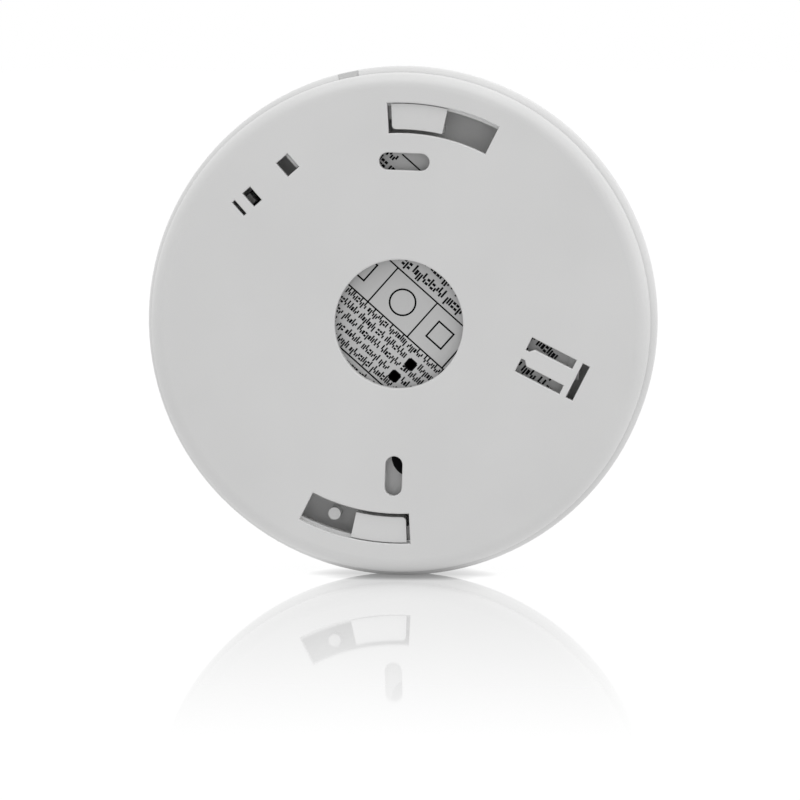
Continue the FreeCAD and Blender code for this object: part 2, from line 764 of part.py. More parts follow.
def make_board_parts():
    """The chips, capacitors, coil and small parts soldered to the board."""
    top = "board_front"

    def chip(x, y, length, width, pins):
        body = block((f"{x} - {width} / 2", f"{x} + {width} / 2"), (f"{y} - {length} / 2", f"{y} + {length} / 2"),
                     (f"{top} + 0.1", f"{top} + 1.5"))
        legs = []
        for number in range(pins):
            step = f"{y} + ({number} - ({pins} - 1) / 2) * 1.27"
            legs.append(block((f"{x} - {width} / 2 - 1", f"{x} + {width} / 2 + 1"),
                              (f"{step} - 0.2", f"{step} + 0.2"), (top, f"{top} + 0.2")))
        return union(body, *legs)
    node("microcontroller", chip("-11.5", "-8", "8.9", "3.9", 7))
    node("horn_driver_chip", chip("-8.5", "13.2", "5", "3.9", 4))
    cans = [drum("2.5", top, f"{top} + 7", x, y) for x, y in (("-12", "32"), ("-20", "29"), ("29", "-31"))]
    node("capacitors", *cans)
    spool = ("31", "22")
    bobbin = union(
        drum("3.9", top, f"{top} + 1.2", *spool),
        drum("2", top, f"{top} + 8", *spool),
        drum("3.9", f"{top} + 6.8", f"{top} + 8", *spool),
    )
    node("inductor_core", bobbin)
    winding = cut(drum("3.5", f"{top} + 1.2", f"{top} + 6.8", *spool),
                  drum("2", f"{top} + 1", f"{top} + 7", *spool))
    node("inductor_winding", winding)
    small = []
    for number in range(5):
        for x, y in (("-15", "-30"), ("40", "-1")):
            along = f"{y} + {number} * 2.4 - 5"
            small.append(block((f"{x} - 1", f"{x} + 1"), (f"{along} - 0.6", f"{along} + 0.6"),
                               (top, f"{top} + 0.6")))
    node("chip_resistors", *small[::2])
    node("chip_capacitors", *small[1::2])


def make_switches():
    """The test switch with its plunger, and the slide switch with its knob."""
    size = "switch_size / 2"
    body = block((f"switch_x - {size}", f"switch_x + {size}"), (f"switch_y - {size}", f"switch_y + {size}"),
                 ("board_front", "switch_top"))
    well = drum("plunger_radius + fit * 2", "switch_top - 1.5", "switch_top + 1", "switch_x", "switch_y")
    node("test_switch", cut(body, well))
    node("switch_plunger", drum("plunger_radius", "switch_top - 0.8", "plunger_top", "switch_x", "switch_y"))
    case = block(("knob_near - 1", "knob_far + 1"), ("knob_low - 2", "knob_high + knob_travel + 2"),
                 ("channel_face + housing_wall + 0.2", "board_rear"))
    track = block(("knob_near - 0.2", "knob_far + 0.2"),
                  ("knob_low - knob_gap", "knob_high + knob_travel + knob_gap"),
                  ("channel_face", "knob_bottom + 0.2"))
    node("slide_switch", turned_about("sight_turn", cut(case, track)))
    knob = block(("knob_near", "knob_far"), ("knob_low", "knob_high"), ("knob_top", "knob_bottom"))
    node("power_slider", turned_about("sight_turn", knob))


def make_status_light():
    """The red lamp on the board and the clear pipe that leads its light to the face."""
    spot = ("lamp_x", "lamp_y")
    lens = bind(doc.addObject("Part::Sphere", "lens"), Radius="lamp_radius")
    place(lens, *spot, "lamp_top - lamp_radius")
    node("status_led", union(drum("lamp_radius", "board_front", "lamp_top - lamp_radius", *spot), lens))
    foot = drum("lamp_radius + 0.6", "lamp_top + 0.2", "lamp_top + 1.4", *spot)
    pipe = drum("lamp_radius", "lamp_top + 0.2", "cover_face + 0.2", *spot)
    node("light_pipe", union(pipe, foot))


def make_test_button():
    """The round button with its stem, snap lugs and return spring."""
    cap = "button_face - button_cap"
    shell = turned(
        [
            ("0", cap),
            ("button_radius - 1.2", cap),
            ("button_radius - 1.2", "button_skirt"),
            ("button_radius", "button_skirt"),
            ("button_radius", "button_face"),
            ("0", "button_face"),
        ],
        [("button_radius", "button_face", "soft_edge * 3")],
    )
    stem = drum("stem_radius", "plunger_top + 0.02", f"{cap} + 0.5", "switch_x", "switch_y")
    lugs = []
    for side in ("1", "-1"):
        leg = sorted((f"{side} * 9.7", f"{side} * 11.1"), key=value)
        barb = sorted((f"{side} * 9.7", f"{side} * 12.7"), key=value)
        under = "well_face - well_floor"
        lugs.append(block(("-1.2", "1.2"), leg, (f"{under} - 1.3", f"{cap} + 0.5")))
        lugs.append(block(("-1.2", "1.2"), barb, (f"{under} - 1.3", f"{under} - 0.1")))
    peg = drum("spring_radius - 1", "well_face + 1.2", f"{cap} + 0.5")
    node("test_button", union(shell, stem, peg, *lugs))
    node("button_spring", coil("spring_radius", "spring_wire", "spring_turns", "well_face", cap))


def write_parts():
    """Check every object and every finished shape, then write one file for each node."""
    doc.recompute()
    failed = [thing.Label for thing in doc.Objects if {"Invalid", "Error"} & set(thing.State)]
    for name, thing in nodes.items():
        if thing.Shape.isNull() or not thing.Shape.isValid():
            failed.append(name)
    if failed:
        raise RuntimeError("these objects failed: " + ", ".join(failed))
    os.makedirs("parts", exist_ok=True)
    for name, thing in nodes.items():
        thing.Shape.exportStep(f"parts/{name}.step")
        print(f"{name}: {len(thing.Shape.Solids)} solids, {thing.Shape.Volume:.1f} cubic mm")


make_mounting_plate()
make_rear_housing()
make_rear_label()
make_housing_screws()
make_front_cover()
make_pcb()
make_chamber_base()
make_chamber_lid()
make_insect_screen()
make_optics()
make_sounder()
make_battery()
make_board_parts()
make_switches()
make_status_light()
make_test_button()
write_parts()
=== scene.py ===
"""A mini optical smoke alarm on its twist-lock mounting plate, seen from the wall side."""
import math
import random

import bmesh
import bpy
from mathutils import Matrix, Vector


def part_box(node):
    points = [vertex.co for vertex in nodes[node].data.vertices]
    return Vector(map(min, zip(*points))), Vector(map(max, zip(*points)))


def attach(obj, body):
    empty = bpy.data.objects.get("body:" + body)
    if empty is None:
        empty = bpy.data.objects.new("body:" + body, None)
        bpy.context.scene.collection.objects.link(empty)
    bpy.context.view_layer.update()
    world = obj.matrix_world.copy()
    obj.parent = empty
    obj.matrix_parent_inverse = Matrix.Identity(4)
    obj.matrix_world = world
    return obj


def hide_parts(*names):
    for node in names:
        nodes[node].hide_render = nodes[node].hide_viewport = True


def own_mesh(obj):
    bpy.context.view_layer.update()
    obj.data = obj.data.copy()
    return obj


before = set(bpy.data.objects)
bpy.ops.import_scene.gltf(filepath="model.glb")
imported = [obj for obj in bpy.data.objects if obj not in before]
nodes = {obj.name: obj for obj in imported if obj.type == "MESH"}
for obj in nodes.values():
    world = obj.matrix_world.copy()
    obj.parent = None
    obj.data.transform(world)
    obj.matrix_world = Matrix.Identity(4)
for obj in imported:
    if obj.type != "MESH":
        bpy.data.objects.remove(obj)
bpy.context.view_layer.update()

scene = bpy.context.scene
MM = 0.001

# ---------------------------------------------------------------------------------------------
# Camera, lights and table. The alarm stands on its rim, rolled a little to one side, on a glossy
# pale table in a white studio. A soft box hangs over it, and the room fills in from the front.
# ---------------------------------------------------------------------------------------------
ROLL = math.radians(1.95)
UPRIGHT = Matrix.Rotation(-ROLL, 4, "Y")

VIEW_AZIMUTH = math.radians(4.7)
VIEW_ELEVATION = math.radians(4.7)
VIEW_DISTANCE = 1.0
VIEW_LENS = 226.4
VIEW_AIM = Vector((0.00028, 0.0, -0.01511))


def put(thing, away, azimuth, elevation, aim):
    """Place a camera or light round the standing alarm, aimed at a point."""
    back = Vector((
        math.sin(azimuth) * math.cos(elevation),
        -math.cos(azimuth) * math.cos(elevation),
        math.sin(elevation),
    ))
    turn = (-back).to_track_quat("-Z", "Y").to_matrix().to_4x4()
    thing.matrix_world = UPRIGHT @ Matrix.Translation(aim + back * away) @ turn


camera = bpy.data.objects.new("camera", bpy.data.cameras.new("camera"))
camera.data.sensor_width = 36
camera.data.lens = VIEW_LENS
camera.data.clip_start = 0.05
camera.data.clip_end = 20
scene.collection.objects.link(camera)
put(camera, VIEW_DISTANCE, VIEW_AZIMUTH, VIEW_ELEVATION, VIEW_AIM)
scene.camera = camera
scene.view_settings.view_transform = "Standard"


def soft_box(name, width, height, watts, away, azimuth, elevation):
    """A rectangular area light aimed at the alarm."""
    light = bpy.data.lights.new(name, "AREA")
    light.shape = "RECTANGLE"
    light.size = width
    light.size_y = height
    light.energy = watts
    thing = bpy.data.objects.new(name, light)
    scene.collection.objects.link(thing)
    put(thing, away, math.radians(azimuth), math.radians(elevation), Vector((0, 0, 0)))


soft_box("top_box", 0.9, 0.6, 1.6, 0.75, 10, 70)
soft_box("side_box", 0.3, 0.8, 0.55, 0.8, 80, 15)


def stretch(tree, value, low, high, to_low, to_high):
    """A value moved from one range to another, and held inside it."""
    made = tree.nodes.new("ShaderNodeMapRange")
    made.inputs["From Min"].default_value = low
    made.inputs["From Max"].default_value = high
    made.inputs["To Min"].default_value = to_low
    made.inputs["To Max"].default_value = to_high
    tree.links.new(value, made.inputs["Value"])
    return made.outputs[0]


TENT_TOWARDS_VIEWER = 0.495
TENT_BEHIND = 1.0
world = bpy.data.worlds.new("white_room")
scene.world = world
world.use_nodes = True
tree = world.node_tree
tree.nodes.clear()
seen = tree.nodes.new("ShaderNodeBackground")
seen.inputs["Color"].default_value = (1, 1, 1, 1)
seen.inputs["Strength"].default_value = 1.0
# The white tent glows behind and beside the alarm and is dimmer on the viewer's side.
filling = tree.nodes.new("ShaderNodeBackground")
filling.inputs["Color"].default_value = (1, 1, 1, 1)
heading = tree.nodes.new("ShaderNodeTexCoord")
parts = tree.nodes.new("ShaderNodeSeparateXYZ")
tree.links.new(heading.outputs["Generated"], parts.inputs[0])
tent = stretch(tree, parts.outputs["Y"], -1.0, 0.3, TENT_TOWARDS_VIEWER, TENT_BEHIND)
tree.links.new(tent, filling.inputs["Strength"])
ray = tree.nodes.new("ShaderNodeLightPath")
mixed = tree.nodes.new("ShaderNodeMixShader")
tree.links.new(ray.outputs["Is Camera Ray"], mixed.inputs["Fac"])
tree.links.new(filling.outputs[0], mixed.inputs[1])
tree.links.new(seen.outputs[0], mixed.inputs[2])
out = tree.nodes.new("ShaderNodeOutputWorld")
tree.links.new(mixed.outputs[0], out.inputs["Surface"])

TABLE_SIZE = 12.0
TABLE_GAP = 0.02 * MM
TABLE_DROP = TABLE_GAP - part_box("rear_housing")[0].z
SHADOW_REACH = 0.0035
REFLECTION_FADE = 0.29
REFLECTION_MOST = 0.46
bm = bmesh.new()
bmesh.ops.create_grid(bm, x_segments=1, y_segments=1, size=TABLE_SIZE / 2)
bmesh.ops.transform(bm, matrix=UPRIGHT @ Matrix.Translation((0, 0, -TABLE_DROP)), verts=bm.verts)
table_mesh = bpy.data.meshes.new("table")
bm.to_mesh(table_mesh)
bm.free()
table = bpy.data.objects.new("table", table_mesh)
scene.collection.objects.link(table)

lacquer = bpy.data.materials.new("table_lacquer")
lacquer.use_nodes = True
tree = lacquer.node_tree
tree.nodes.clear()
glow = tree.nodes.new("ShaderNodeEmission")
glow.inputs["Color"].default_value = (1, 1, 1, 1)
# Painted contact shadow: ambient occlusion darkens the table's glow close under the alarm.
painted_contact_shadow = tree.nodes.new("ShaderNodeAmbientOcclusion")
painted_contact_shadow.inputs["Distance"].default_value = SHADOW_REACH
tree.links.new(stretch(tree, painted_contact_shadow.outputs["AO"], 0, 1, 0.3, 1.05), glow.inputs["Strength"])
paint = tree.nodes.new("ShaderNodeBsdfDiffuse")
paint.inputs["Color"].default_value = (0.9, 0.9, 0.9, 1)
mirror = tree.nodes.new("ShaderNodeBsdfGlossy")
mirror.inputs["Color"].default_value = (1, 1, 1, 1)
mirror.inputs["Roughness"].default_value = 0.03
# The reflection is clear at the rim and dies away towards the viewer.
where = tree.nodes.new("ShaderNodeTexCoord")
apart = tree.nodes.new("ShaderNodeSeparateXYZ")
tree.links.new(where.outputs["Object"], apart.inputs[0])
fade = stretch(tree, apart.outputs["Y"], -REFLECTION_FADE, 0, 0, REFLECTION_MOST)
fade.node.interpolation_type = "SMOOTHSTEP"
shine = tree.nodes.new("ShaderNodeMixShader")
tree.links.new(fade, shine.inputs["Fac"])
body = tree.nodes.new("ShaderNodeMixShader")
body.inputs["Fac"].default_value = 0.1
tree.links.new(glow.outputs[0], body.inputs[1])
tree.links.new(paint.outputs[0], body.inputs[2])
tree.links.new(body.outputs[0], shine.inputs[1])
tree.links.new(mirror.outputs[0], shine.inputs[2])
# Only the camera sees the reflection. Other rays meet a plain glow, with painted shade dimming it close
# under the rim.
plain = tree.nodes.new("ShaderNodeMixShader")
ray = tree.nodes.new("ShaderNodeLightPath")
tree.links.new(ray.outputs["Is Camera Ray"], plain.inputs["Fac"])
bounce = tree.nodes.new("ShaderNodeEmission")
tree.links.new(stretch(tree, painted_contact_shadow.outputs["AO"], 0, 1, 0.15, 0.8), bounce.inputs["Strength"])
tree.links.new(bounce.outputs[0], plain.inputs[1])
tree.links.new(shine.outputs[0], plain.inputs[2])
out = tree.nodes.new("ShaderNodeOutputMaterial")
tree.links.new(plain.outputs[0], out.inputs["Surface"])
table.data.materials.append(lacquer)

# ---------------------------------------------------------------------------------------------
# Mounting plate, rear housing, front cover and test button. All four are white ABS mouldings from
# spark-eroded tools: a fine even grain, slight flow tone, and a few rubs from handling.
# ---------------------------------------------------------------------------------------------


def group_tree(name, inputs, outputs):
    """An empty node group with its sockets, its input node and its output node."""
    made = bpy.data.node_groups.new(name, "ShaderNodeTree")
    for socket, kind, value in inputs:
        made.interface.new_socket(socket, in_out="INPUT", socket_type=kind).default_value = value
    for socket, kind in outputs:
        made.interface.new_socket(socket, in_out="OUTPUT", socket_type=kind)
    return made, made.nodes.new("NodeGroupInput"), made.nodes.new("NodeGroupOutput")


def noise(tree, where, scale, detail, rough=0.5):
    """A noise texture on a point."""
    made = tree.nodes.new("ShaderNodeTexNoise")
    made.inputs["Scale"].default_value = scale
    made.inputs["Detail"].default_value = detail
    made.inputs["Roughness"].default_value = rough
    tree.links.new(where, made.inputs["Vector"])
    return made.outputs["Fac"]


def sums(tree, operation, first, second):
    """One arithmetic step, on sockets or plain numbers."""
    made = tree.nodes.new("ShaderNodeMath")
    made.operation = operation
    for socket, value in zip(made.inputs, (first, second)):
        if isinstance(value, (int, float)):
            socket.default_value = value
        else:
            tree.links.new(value, socket)
    return made.outputs[0]


moulding_skin, given, gives = group_tree(
    "moulding_skin",
    [("Colour", "NodeSocketColor", (0.8, 0.8, 0.8, 1)), ("Gloss", "NodeSocketFloat", 0.4)],
    [("Colour", "NodeSocketColor"), ("Roughness", "NodeSocketFloat"), ("Height", "NodeSocketFloat")],
)
where = moulding_skin.nodes.new("ShaderNodeTexCoord").outputs["Object"]
flow = noise(moulding_skin, where, 38, 3)
grain = noise(moulding_skin, where, 5200, 2)
pits = noise(moulding_skin, where, 900, 4, 0.6)
rubs = noise(moulding_skin, where, 210, 6, 0.75)
tone = sums(moulding_skin, "ADD", stretch(moulding_skin, flow, 0.3, 0.7, 0.975, 1.02),
            stretch(moulding_skin, grain, 0.3, 0.7, -0.012, 0.012))
shade = moulding_skin.nodes.new("ShaderNodeVectorMath")
shade.operation = "SCALE"
moulding_skin.links.new(given.outputs["Colour"], shade.inputs[0])
moulding_skin.links.new(tone, shade.inputs["Scale"])
moulding_skin.links.new(shade.outputs[0], gives.inputs["Colour"])
rubbed = stretch(moulding_skin, rubs, 0.56, 0.72, 0.0, 0.07)
gloss = sums(moulding_skin, "ADD", given.outputs["Gloss"], rubbed)
gloss = sums(moulding_skin, "ADD", gloss, stretch(moulding_skin, pits, 0.3, 0.7, -0.03, 0.03))
moulding_skin.links.new(gloss, gives.inputs["Roughness"])
height = sums(moulding_skin, "ADD", sums(moulding_skin, "MULTIPLY", grain, 0.6),
              sums(moulding_skin, "MULTIPLY", pits, 0.4))
moulding_skin.links.new(height, gives.inputs["Height"])


def finish(name):
    """A new material, with its node tree and its surface shader."""
    made = bpy.data.materials.new(name)
    made.use_nodes = True
    return made, made.node_tree, made.node_tree.nodes["Principled BSDF"]


def relief(tree, shader, height, strength, depth):
    """Fine relief on a surface, from a height value and a depth in millimetres."""
    bump = tree.nodes.new("ShaderNodeBump")
    bump.inputs["Strength"].default_value = strength
    bump.inputs["Distance"].default_value = depth * MM
    tree.links.new(height, bump.inputs["Height"])
    tree.links.new(bump.outputs["Normal"], shader.inputs["Normal"])


def moulded(name, colour, gloss, depth=0.02, ior=1.53):
    """A moulded plastic finish: the shared skin with its own colour, gloss and grain depth."""
    made, tree, shader = finish(name)
    skin = tree.nodes.new("ShaderNodeGroup")
    skin.node_tree = moulding_skin
    skin.inputs["Colour"].default_value = (*colour, 1)
    skin.inputs["Gloss"].default_value = gloss
    tree.links.new(skin.outputs["Colour"], shader.inputs["Base Color"])
    tree.links.new(skin.outputs["Roughness"], shader.inputs["Roughness"])
    relief(tree, shader, skin.outputs["Height"], 0.35, depth)
    shader.inputs["IOR"].default_value = ior
    return made


def dress(material, *names):
    """Give a finish to carried-over parts."""
    for name in names:
        for slot in nodes[name].material_slots:
            slot.material = material


white_abs = moulded("white_abs", (0.75, 0.75, 0.748), 0.33)
dress(white_abs, "mounting_plate", "rear_housing", "front_cover", "test_button")

# ---------------------------------------------------------------------------------------------
# Rating label. A round white polyester film stuck to the housing, printed in black. The print is
# plain stand-in marks: rules, lines of bars where type would be, and simple shapes in the cells.
# ---------------------------------------------------------------------------------------------
LABEL_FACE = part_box("rear_label")[0].y
LABEL_REACH = 33.6
INK = 0.02 * MM
RULE = 0.3
OUTLINE = 0.34
STROKE = 0.26
BODY = 0.72
CONDENSED = 0.76
WORD_GAP = 0.36
SMALL_TYPE = 1.5
LARGE_TYPE = 1.95
SMALL_PITCH = 2.08
TAG = 2.2
TAG_CORNER = 0.25
DOT_RADIUS = 4.2
RING_RADIUS = 2.6
label_axes = Matrix.Rotation(math.radians(39.75), 4, "Y")


def ink_bar(bm, low, high, skew=0.0):
    """A flat bar of ink between two corners, in millimetres along and across the lines of type."""
    wide, tall = high[0] - low[0], high[1] - low[1]
    middle = Vector(((low[0] + high[0]) / 2, 0, (low[1] + high[1]) / 2)) * MM
    turn = Matrix.Rotation(skew, 4, "Y")
    size = Matrix.Diagonal((wide * MM, INK, tall * MM, 1))
    bmesh.ops.create_cube(bm, size=1, matrix=Matrix.Translation(middle) @ turn @ size)


def ink_line(bm, start, end, thick):
    """A straight stroke of ink from one point to another."""
    run = Vector(end) - Vector(start)
    middle = (Vector(start) + Vector(end)) / 2
    half = Vector((run.length / 2 + thick / 2, thick / 2))
    ink_bar(bm, middle - half, middle + half, -math.atan2(run.y, run.x))


def ink_loop(bm, points, thick):
    """A closed outline of straight strokes."""
    for number, point in enumerate(points):
        ink_line(bm, point, points[(number + 1) % len(points)], thick)


def type_mark(*bars):
    """One mark of stand-in type, a millimetre tall, made of bars. No mark is a letter."""
    bm = bmesh.new()
    for low, high in bars:
        ink_bar(bm, low, high)
    made = bpy.data.meshes.new("type_mark")
    bm.to_mesh(made)
    bm.free()
    return made


type_marks = [
    (type_mark(((0, 0), (STROKE, BODY))), 0.37),
    (type_mark(((0, 0.1), (STROKE, 1.0))), 0.37),
    (type_mark(((0, -0.28), (STROKE, 0.6))), 0.37),
    (type_mark(((0, 0.06), (0.4, 0.64))), 0.51),
    (type_mark(((0, 0), (0.44, 0.27)), ((0, 0.45), (0.44, BODY))), 0.55),
    (type_mark(((0, 0), (STROKE, 0.44)), ((0.3, 0.28), (0.56, BODY))), 0.67),
    (type_mark(((0, 0.3), (STROKE, 1.0)), ((0.3, 0), (0.56, 0.44))), 0.67),
]


def type_line(bm, across, height, start, end, chance):
    """A line of stand-in type: runs of marks as long as words, with nothing to read in them."""
    along = start
    squeezed = height * CONDENSED
    while along < end - squeezed:
        for _ in range(chance.randint(3, 11)):
            made, wide = chance.choice(type_marks)
            if along + wide * squeezed > end:
                break
            copy = made.copy()
            spot = Matrix.Translation(Vector((along, 0, across)) * MM)
            copy.transform(spot @ Matrix.Diagonal((squeezed, 1, height, 1)))
            bm.from_mesh(copy)
            bpy.data.meshes.remove(copy)
            along += wide * squeezed
        along += squeezed * WORD_GAP


chance = random.Random(183)
bm = bmesh.new()
for across in (-11.6, -1.1, 8.0, 25.4):
    reach = math.sqrt(LABEL_REACH ** 2 - across ** 2)
    ink_bar(bm, (-reach, across - RULE / 2), (reach, across + RULE / 2))
for along in (-28.2, -17.9, -7.6, 2.9, 12.2, 22.6):
    ink_bar(bm, (along - RULE / 2, -1.1), (along + RULE / 2, 8.0))

small_rows = [-2.65 - SMALL_PITCH * number for number in range(5)]
small_rows += [-13.6 - SMALL_PITCH * number for number in range(3)]
large_rows = [9.1, 11.9, 14.9, 17.9, 20.9]
tags = ((6.0, -5.85), (5.15, -9.75))
for across in small_rows:
    reach = math.sqrt(max(LABEL_REACH ** 2 - (abs(across) + 1.2) ** 2, 9))
    start = -reach
    for tag in tags:
        if abs(tag[1] + TAG / 2 - across - 0.6) < 1.4:
            type_line(bm, across, SMALL_TYPE, start, tag[0], chance)
            start = tag[0] + TAG + 0.4
    type_line(bm, across, SMALL_TYPE, start, reach, chance)
for across in large_rows:
    reach = math.sqrt(max(LABEL_REACH ** 2 - (abs(across) + 1.6) ** 2, 9))
    type_line(bm, across, LARGE_TYPE, -reach, reach, chance)
type_line(bm, 23.2, LARGE_TYPE, -24.5, -21.0, chance)
dot = Matrix.Translation(Vector((19.6, 0, -18.2)) * MM) @ Matrix.Rotation(math.pi / 2, 4, "X")
bmesh.ops.create_cone(bm, cap_ends=True, segments=48, radius1=DOT_RADIUS * MM,
                      radius2=DOT_RADIUS * MM, depth=INK, matrix=dot)
for along, across in tags:
    ink_bar(bm, (along + TAG_CORNER, across), (along + TAG - TAG_CORNER, across + TAG))
    ink_bar(bm, (along, across + TAG_CORNER), (along + TAG, across + TAG - TAG_CORNER))
ring = []
for step in range(32):
    angle = math.tau * step / 32
    ring.append((-2.35 + RING_RADIUS * math.cos(angle), 3.45 + RING_RADIUS * math.sin(angle)))
ink_loop(bm, ring, OUTLINE)
ink_loop(bm, [(-15.1, 1.5), (-11.0, 1.5), (-11.0, 5.6), (-15.1, 5.6)], OUTLINE)
ink_loop(bm, [(5.6, 1.6), (9.5, 1.6), (9.5, 5.5), (5.6, 5.5)], OUTLINE)
ink_loop(bm, [(14.2, 0.8), (20.4, 0.8), (17.3, 6.4)], 0.4)
lift = Matrix.Translation((0, LABEL_FACE - INK / 2, 0))
bmesh.ops.transform(bm, matrix=lift @ label_axes, verts=bm.verts)
print_mesh = bpy.data.meshes.new("label_print")
bm.to_mesh(print_mesh)
bm.free()
label_print = bpy.data.objects.new("label_print", print_mesh)
scene.collection.objects.link(label_print)
for made, _ in type_marks:
    bpy.data.meshes.remove(made)
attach(label_print, "alarm")
label_ink = moulded("label_ink", (0.004, 0.004, 0.005), 0.6, 0.005, 1.15)
label_print.data.materials.append(label_ink)
dress(moulded("label_film", (0.6, 0.6, 0.6), 0.4, 0.006), "rear_label")

# ---------------------------------------------------------------------------------------------
# Housing screws. Three zinc-plated steel self-tappers hold the two shells together.
# ---------------------------------------------------------------------------------------------
metal_skin, given, gives = group_tree(
    "metal_skin",
    [("Colour", "NodeSocketColor", (0.7, 0.7, 0.7, 1)),
     ("Tarnish", "NodeSocketColor", (0.4, 0.4, 0.4, 1)),
     ("Gloss", "NodeSocketFloat", 0.3)],
    [("Colour", "NodeSocketColor"), ("Roughness", "NodeSocketFloat"), ("Height", "NodeSocketFloat")],
)
where = metal_skin.nodes.new("ShaderNodeTexCoord").outputs["Object"]
drawn = metal_skin.nodes.new("ShaderNodeMapping")
drawn.inputs["Scale"].default_value = (1, 9, 1)
metal_skin.links.new(where, drawn.inputs["Vector"])
lines = noise(metal_skin, drawn.outputs[0], 900, 4, 0.6)
clouds = noise(metal_skin, where, 420, 5, 0.65)
aged = metal_skin.nodes.new("ShaderNodeMix")
aged.data_type = "RGBA"
metal_skin.links.new(stretch(metal_skin, clouds, 0.48, 0.75, 0.0, 0.8), aged.inputs["Factor"])
metal_skin.links.new(given.outputs["Colour"], aged.inputs["A"])
metal_skin.links.new(given.outputs["Tarnish"], aged.inputs["B"])
metal_skin.links.new(aged.outputs["Result"], gives.inputs["Colour"])
gloss = stretch(metal_skin, lines, 0.3, 0.7, -0.07, 0.1)
gloss = sums(metal_skin, "ADD", given.outputs["Gloss"], gloss)
gloss = sums(metal_skin, "ADD", gloss, stretch(metal_skin, clouds, 0.5, 0.8, 0.0, 0.15))
metal_skin.links.new(gloss, gives.inputs["Roughness"])
metal_skin.links.new(lines, gives.inputs["Height"])


def plated(name, colour, tarnish, gloss):
    """A bare or plated metal finish: drawing lines, clouded tarnish and its own colour."""
    made, tree, shader = finish(name)
    shader.inputs["Metallic"].default_value = 1.0
    skin = tree.nodes.new("ShaderNodeGroup")
    skin.node_tree = metal_skin
    skin.inputs["Colour"].default_value = (*colour, 1)
    skin.inputs["Tarnish"].default_value = (*tarnish, 1)
    skin.inputs["Gloss"].default_value = gloss
    tree.links.new(skin.outputs["Colour"], shader.inputs["Base Color"])
    tree.links.new(skin.outputs["Roughness"], shader.inputs["Roughness"])
    relief(tree, shader, skin.outputs["Height"], 0.2, 0.01)
    return made


dress(plated("zinc_plate", (0.72, 0.73, 0.76), (0.5, 0.49, 0.46), 0.28), "housing_screws")

# ---------------------------------------------------------------------------------------------
# Circuit board. Glass-fibre board under green solder mask: copper tracks show through as lighter
# bands, with tinned vias. Its soldered joints are small bright tin domes.
# ---------------------------------------------------------------------------------------------
MASK_GREEN = (0.012, 0.10, 0.035)
TRACK_GREEN = (0.03, 0.22, 0.07)
TIN = (0.72, 0.72, 0.70)


def mix_colour(tree, mask, under, over):
    """One colour over another by a mask; each colour is a socket or a plain colour."""
    made = tree.nodes.new("ShaderNodeMix")
    made.data_type = "RGBA"
    tree.links.new(mask, made.inputs["Factor"])
    for socket, value in ((made.inputs["A"], under), (made.inputs["B"], over)):
        if isinstance(value, tuple):
            socket.default_value = (*value, 1)
        else:
            tree.links.new(value, socket)
    return made.outputs["Result"]


solder_mask, tree, shader = finish("solder_mask")
where = tree.nodes.new("ShaderNodeTexCoord").outputs["Object"]
tracks = None
for turn, pitch, wide in ((0, 2.2, 0.3), (90, 3.4, 0.34), (45, 5.3, 0.28)):
    laid = tree.nodes.new("ShaderNodeMapping")
    laid.inputs["Rotation"].default_value = (math.pi / 2, 0, math.radians(turn))
    tree.links.new(where, laid.inputs["Vector"])
    run = tree.nodes.new("ShaderNodeTexBrick")
    run.offset = 0.37
    run.inputs["Scale"].default_value = 1.0
    run.inputs["Brick Width"].default_value = pitch * 4.3 * MM
    run.inputs["Row Height"].default_value = pitch * MM
    run.inputs["Mortar Size"].default_value = wide / 2 * MM
    run.inputs["Mortar Smooth"].default_value = 0.1
    tree.links.new(laid.outputs[0], run.inputs["Vector"])
    patch = stretch(tree, noise(tree, laid.outputs[0], 55 + 13 * pitch, 1), 0.5, 0.51, 0, 1)
    line = sums(tree, "MULTIPLY", run.outputs["Fac"], patch)
    tracks = line if tracks is None else sums(tree, "MAXIMUM", tracks, line)
cells = tree.nodes.new("ShaderNodeTexVoronoi")
cells.inputs["Scale"].default_value = 210
tree.links.new(where, cells.inputs["Vector"])
vias = stretch(tree, cells.outputs["Distance"], 0.09, 0.1, 1, 0)
weave = noise(tree, where, 1500, 3)
base = mix_colour(tree, stretch(tree, weave, 0.3, 0.7, 0, 0.35), MASK_GREEN, TRACK_GREEN)
base = mix_colour(tree, tracks, base, TRACK_GREEN)
tree.links.new(mix_colour(tree, vias, base, TIN), shader.inputs["Base Color"])
tree.links.new(stretch(tree, weave, 0.2, 0.8, 0.22, 0.38), shader.inputs["Roughness"])
tree.links.new(vias, shader.inputs["Metallic"])
raised = sums(tree, "ADD", tracks, sums(tree, "MULTIPLY", weave, 0.15))
relief(tree, shader, raised, 0.4, 0.035)
dress(solder_mask, "pcb")


def new_piece(name, bm, material):
    """A finished mesh that belongs to the alarm, with its finish."""
    mesh = bpy.data.meshes.new(name)
    bm.to_mesh(mesh)
    bm.free()
    piece = bpy.data.objects.new(name, mesh)
    mesh.materials.append(material)
    scene.collection.objects.link(piece)
    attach(piece, "alarm")
    return piece


